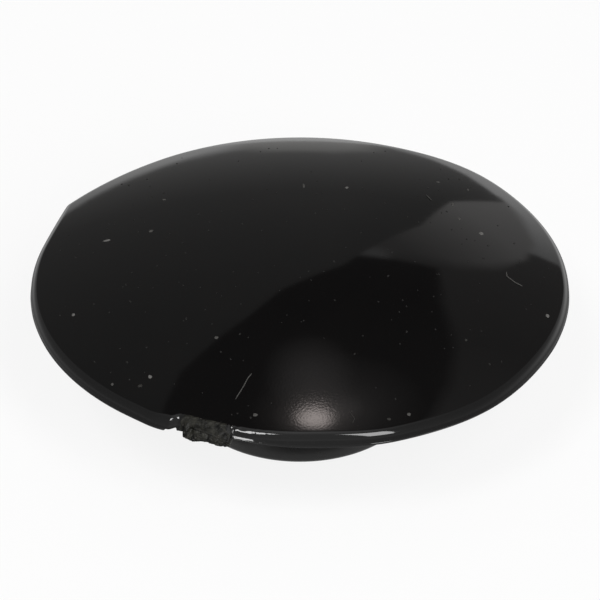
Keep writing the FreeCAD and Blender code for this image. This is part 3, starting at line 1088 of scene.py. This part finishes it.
def lamp(name, across, up, tall, rings_of_glow, colour, layer):
    """A lamp with a soft edge: each ring is a radius and its glow."""
    distance = PANEL_DISTANCE - LAYER_GAP * layer
    count = LAMP_SIDES
    corners = [on_panel(across, up, distance)]
    glows = [rings_of_glow[0][1]]
    face_list = []
    for index, (radius, ring_glow) in enumerate(rings_of_glow):
        for i in range(count):
            angle = 2 * math.pi * i / count
            corners.append(on_panel(across + radius * math.cos(angle),
                                    up + tall * radius * math.sin(angle), distance))
            glows.append(ring_glow)
        for i in range(count):
            j = (i + 1) % count
            here = 1 + index * count
            if index == 0:
                face_list.append((0, here + i, here + j))
            else:
                face_list.append((here - count + i, here + i, here + j, here - count + j))
    n = Nodes(name)
    glow = n.add("Emission", Color=(*colour, 1))
    strength = n.add("Attribute", attribute_name="glow")
    n.link(strength.outputs["Fac"], glow.inputs["Strength"])
    clear = n.add("BsdfTransparent")
    finish = n.finish(n.join("AddShader", None, glow.outputs[0], clear.outputs[0]))
    item = stage_mesh(name, corners, face_list, finish)
    store_at_corners(item, "glow", glows)
    item.visible_shadow = False


LAMP_GLOW = [(0.02, 7.4), (0.034, 5.6), (0.044, 1.8), (0.058, 0.45), (0.1, 0.1), (0.16, 0.0)]
HALO_GLOW = [(0.02, 0.3), (0.055, 0.18), (0.1, 0.0)]
HAZE_GLOW = [(0.025, 0.42), (0.05, 0.22), (0.12, 0.1), (0.2, 0.0)]
lamp("lamp", across=0.034, up=0.605, tall=1.08, rings_of_glow=LAMP_GLOW,
     colour=(1, 0.89, 0.85), layer=5)
lamp("lamp_halo", across=0.02, up=0.44, tall=1.6, rings_of_glow=HALO_GLOW,
     colour=(1, 0.95, 0.94), layer=6)
lamp("lamp_haze", across=0.1, up=0.56, tall=1.1, rings_of_glow=HAZE_GLOW,
     colour=(1, 0.95, 0.94), layer=7)


# Bright and dim parts of the room round the plug. Each has an azimuth, its half-widths
# towards smaller and greater azimuths, an elevation with its half-height, and what it
# adds to the room's own glow. The last two are the front and the ceiling.
ANY = math.inf
ROOM_GLOW = 0.38
ROOM_PARTS = [
    (62, 46, 28, 4, 16, 1.15),
    (112, 27, 27, -1, 14, 0.85),
    (88, 11, 11, 2, 14, -0.5),
    (-90, 50, 50, 0, ANY, 0.3),
    (0, ANY, ANY, 90, 17, 0.8),
]

# The same for the floor, as gloss sees it, with the radii between which each part comes
# in, in millimetres. The last two are bright places close beside the stem.
SHEEN_GLOW = 0.26
SHEEN_PARTS = [
    (0, ANY, ANY, 22, 40, 0.24),
    (62, 46, 28, 30, 75, 0.75),
    (112, 30, 30, 30, 75, 0.7),
    (-90, 36, 36, 12, 21, 0.28),
    (-114, 7, 7, 21, 12, 0.5),
    (-50, 12, 12, 21, 12, 0.9),
]


def towards(azimuth, middle, before, after):
    """How near an azimuth is to a middle, from 0 to 1, with a half-width to each side."""
    away = turned(azimuth, middle)
    return hump(away, after if away > 0 else before)


def room_glow(azimuth, elevation):
    """How bright the room is beyond the panels, in a direction in degrees."""
    glow = ROOM_GLOW
    for middle, before, after, level, half_height, adds in ROOM_PARTS:
        near = towards(azimuth, middle, before, after)
        glow += adds * near * hump(elevation - level, half_height)
    return glow


def sheen_glow(azimuth, radius):
    """How bright gloss sees the floor at a place round the plug, radius in millimetres."""
    glow = SHEEN_GLOW
    for middle, before, after, start, full, adds in SHEEN_PARTS:
        near = towards(azimuth, middle, before, after)
        glow += adds * near * smooth(start, full, radius)
    return glow


SHELL_SIDES = 72


def glow_shell(name, rows, levels, glow_at):
    """A wide shell that only gloss shows.

    Each row is a radius and a height, in metres. Its level is what glow_at is given for
    it beside the azimuth: an elevation or a radius.
    """
    corners = []
    glows = []
    face_list = []
    around = SHELL_SIDES
    for index, (radius, height) in enumerate(rows):
        for i in range(around):
            azimuth = 360 * i / around
            a = math.radians(azimuth)
            corners.append((radius * math.cos(a), radius * math.sin(a), height))
            glows.append(glow_at(azimuth, levels[index]))
    for row in range(len(rows) - 1):
        for i in range(around):
            j = (i + 1) % around
            here = row * around
            face_list.append((here + i, here + j, here + around + j, here + around + i))
    n = Nodes(name)
    strength = n.add("Attribute", attribute_name="glow")
    glow = n.add("Emission", Color=(1, 1, 1, 1), Strength=strength.outputs["Fac"])
    item = stage_mesh(name, corners, face_list, n.finish(glow.outputs[0]))
    store_at_corners(item, "glow", glows)
    item.visible_camera = False
    item.visible_diffuse = False
    item.visible_transmission = False
    item.visible_shadow = False


# The room's shell is a half sphere, nearly closed at its top.
ROOM_REACH = 1.35
ROOM_ROWS = 31
elevations = [min(3 * row, 89.9) for row in range(ROOM_ROWS)]
room_rows = [(ROOM_REACH * math.cos(math.radians(e)), ROOM_REACH * math.sin(math.radians(e)))
             for e in elevations]
glow_shell("room", room_rows, elevations, room_glow)

# The floor's shell lies just above the floor, and starts just outside the stem.
sheen_radii = [7, 14, 18, 22, 26, 30, 35, 40, 48, 60, 75, 110, 300, 1350]
sheen_rows = [(radius * MM, low.z + 0.02 * MM) for radius in sheen_radii]
glow_shell("floor_sheen", sheen_rows, sheen_radii, sheen_glow)


def soft_box(name, azimuth, elevation, distance, width, height, power):
    """A rectangular studio lamp that faces the plug, its sizes in metres."""
    light = bpy.data.lights.new(name, "AREA")
    light.shape = "RECTANGLE"
    light.size = width
    light.size_y = height
    light.energy = power
    item = put_in_scene(name, light)
    a, e = math.radians(azimuth), math.radians(elevation)
    place = Vector((math.cos(a) * math.cos(e), math.sin(a) * math.cos(e), math.sin(e)))
    item.location = place * distance
    item.rotation_euler = place.to_track_quat("Z", "Y").to_euler()


soft_box("right_soft_box", azimuth=-62.5, elevation=38, distance=1.0,
         width=0.27, height=0.76, power=7.4)
soft_box("left_soft_box", azimuth=-117.5, elevation=53, distance=1.0,
         width=0.25, height=0.28, power=4.1)

# The white room looks white, but lights the plug less than the two soft boxes do.
ROOM_LIGHT = 0.22
world = bpy.data.worlds.new("white_room")
world.use_nodes = True
world_nodes = world.node_tree.nodes
world_nodes["Background"].inputs["Color"].default_value = (1, 1, 1, 1)
world_path = world_nodes.new("ShaderNodeLightPath")
world_strength = world_nodes.new("ShaderNodeMapRange")
world_strength.inputs["To Min"].default_value = ROOM_LIGHT
world_strength.inputs["To Max"].default_value = 1.0
seen = world_path.outputs["Is Camera Ray"]
for ray in ("Is Glossy Ray", "Is Transmission Ray"):
    either = world_nodes.new("ShaderNodeMath")
    either.operation = "MAXIMUM"
    world.node_tree.links.new(seen, either.inputs[0])
    world.node_tree.links.new(world_path.outputs[ray], either.inputs[1])
    seen = either.outputs[0]
world.node_tree.links.new(seen, world_strength.inputs["Value"])
world.node_tree.links.new(world_strength.outputs["Result"],
                          world_nodes["Background"].inputs["Strength"])
bpy.context.scene.world = world
bpy.context.scene.view_settings.view_transform = "Standard"

# ------------------------------------------------------------------ camera

# The camera looks from the front at a point just below the plug's origin. Its distance
# is in metres and its lens in millimetres, behind a frame 36 mm wide.
CAMERA_ELEVATION = math.radians(34.75)
CAMERA_DISTANCE = 0.21
CAMERA_LENS = 241.6
SENSOR_WIDTH = 36
FRAME_DOWN = 0.478 * MM
FRAME_RIGHT = 0.004 * MM

back = Vector((0, -math.cos(CAMERA_ELEVATION), math.sin(CAMERA_ELEVATION)))
right = Vector((1, 0, 0))
up = back.cross(right)
camera_data = bpy.data.cameras.new("camera")
camera_data.lens = CAMERA_LENS
camera_data.sensor_width = SENSOR_WIDTH
camera_data.clip_start = 0.01
camera = put_in_scene("camera", camera_data)
place = back * CAMERA_DISTANCE - up * FRAME_DOWN + right * FRAME_RIGHT
turn = Matrix((right, up, back)).transposed().to_4x4()
camera.matrix_world = Matrix.Translation(place) @ turn
bpy.context.scene.camera = camera
